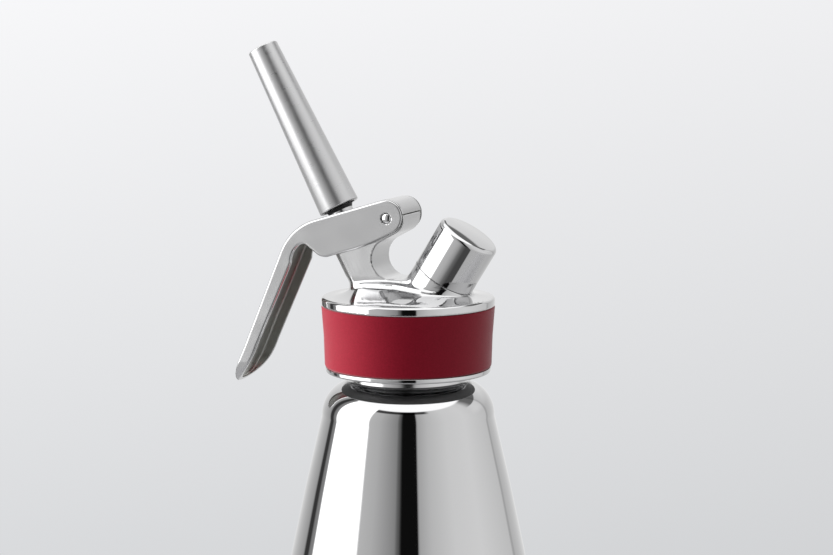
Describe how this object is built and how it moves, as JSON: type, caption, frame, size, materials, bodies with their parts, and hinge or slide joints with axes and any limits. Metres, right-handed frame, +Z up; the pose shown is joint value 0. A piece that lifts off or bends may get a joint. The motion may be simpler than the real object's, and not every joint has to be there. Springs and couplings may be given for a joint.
{
  "type": "whipped cream dispenser",
  "caption": "Insulated steel cream whipper with a cast lever head, red silicone grip, slanted nozzle and capped charger port.",
  "frame": {"origin": "centre of the bottle's base, on the surface that it stands on", "axes": "+Z up along the bottle, -X towards the lever, +X towards the charger port"},
  "size_m": [0.1253, 0.104, 0.3234],
  "materials": {
    "polished_steel": "mirror-polished stainless steel",
    "satin_steel": "satin cast stainless steel with a polished edge",
    "brushed_steel": "turned stainless steel",
    "nozzle_steel": "finely brushed stainless steel",
    "dark_steel": "unfinished metal",
    "spring_steel": "drawn spring wire",
    "brass": "turned brass",
    "red_silicone": "matt dark red silicone",
    "seal_silicone": "soft red silicone",
    "black_rubber": "matt black rubber"
  },
  "bodies": {
    "bottle": {"outer_shell": "polished_steel", "inner_vessel": "brushed_steel", "base_plate": "brushed_steel", "vacuum_getter": "dark_steel", "neck_ring": "polished_steel"},
    "gasket": {"head_gasket": "seal_silicone"},
    "head": {"head_body": "polished_steel", "threaded_skirt": "polished_steel", "silicone_grip": "red_silicone", "lever_pin": "polished_steel", "charger_socket": "brushed_steel", "piercing_needle": "brushed_steel", "charger_seal": "black_rubber", "check_valve": "black_rubber", "check_valve_retainer": "brass", "stem_o_ring": "black_rubber", "spring_washer": "brushed_steel"},
    "lever": {"lever": "satin_steel"},
    "valve": {"valve_stem": "brushed_steel", "valve_seal": "seal_silicone", "tip_adapter": "brushed_steel", "tip_seal": "black_rubber", "valve_spring": "spring_steel"},
    "nozzle": {"nozzle": "nozzle_steel"},
    "cap": {"charger_cap": "polished_steel"}
  },
  "joints": [
    {"name": "head_lift", "type": "slide", "parent": "bottle", "child": "gasket", "axis": [0, 0, 1], "range_m": [0, 0.12]},
    {"name": "head_turn", "type": "hinge", "parent": "gasket", "child": "head", "pos_m": [0, 0, 0.225], "axis": [0, 0, 1], "range_deg": [0, 720]},
    {"name": "lever_press", "type": "hinge", "parent": "head", "child": "lever", "pos_m": [-0.005, 0, 0.2561], "axis": [0, -1, 0], "range_deg": [0, 12], "stiffness_Nm_per_rad": 1, "springref_deg": -8.59},
    {"name": "valve_slide", "type": "slide", "parent": "head", "child": "valve", "axis": [0.4706, 0, -0.8824], "range_m": [0, 0.0046], "deforming": ["valve_spring"]},
    {"name": "nozzle_lift", "type": "slide", "parent": "valve", "child": "nozzle", "axis": [-0.4706, 0, 0.8824], "range_m": [0, 0.03]},
    {"name": "cap_lift", "type": "slide", "parent": "head", "child": "cap", "axis": [0.5314, 0, 0.8471], "range_m": [0, 0.04]}
  ],
  "couplings": [
    {"joint": "valve_slide", "follows": "lever_press", "m_per_rad": 0.0212}
  ]
}
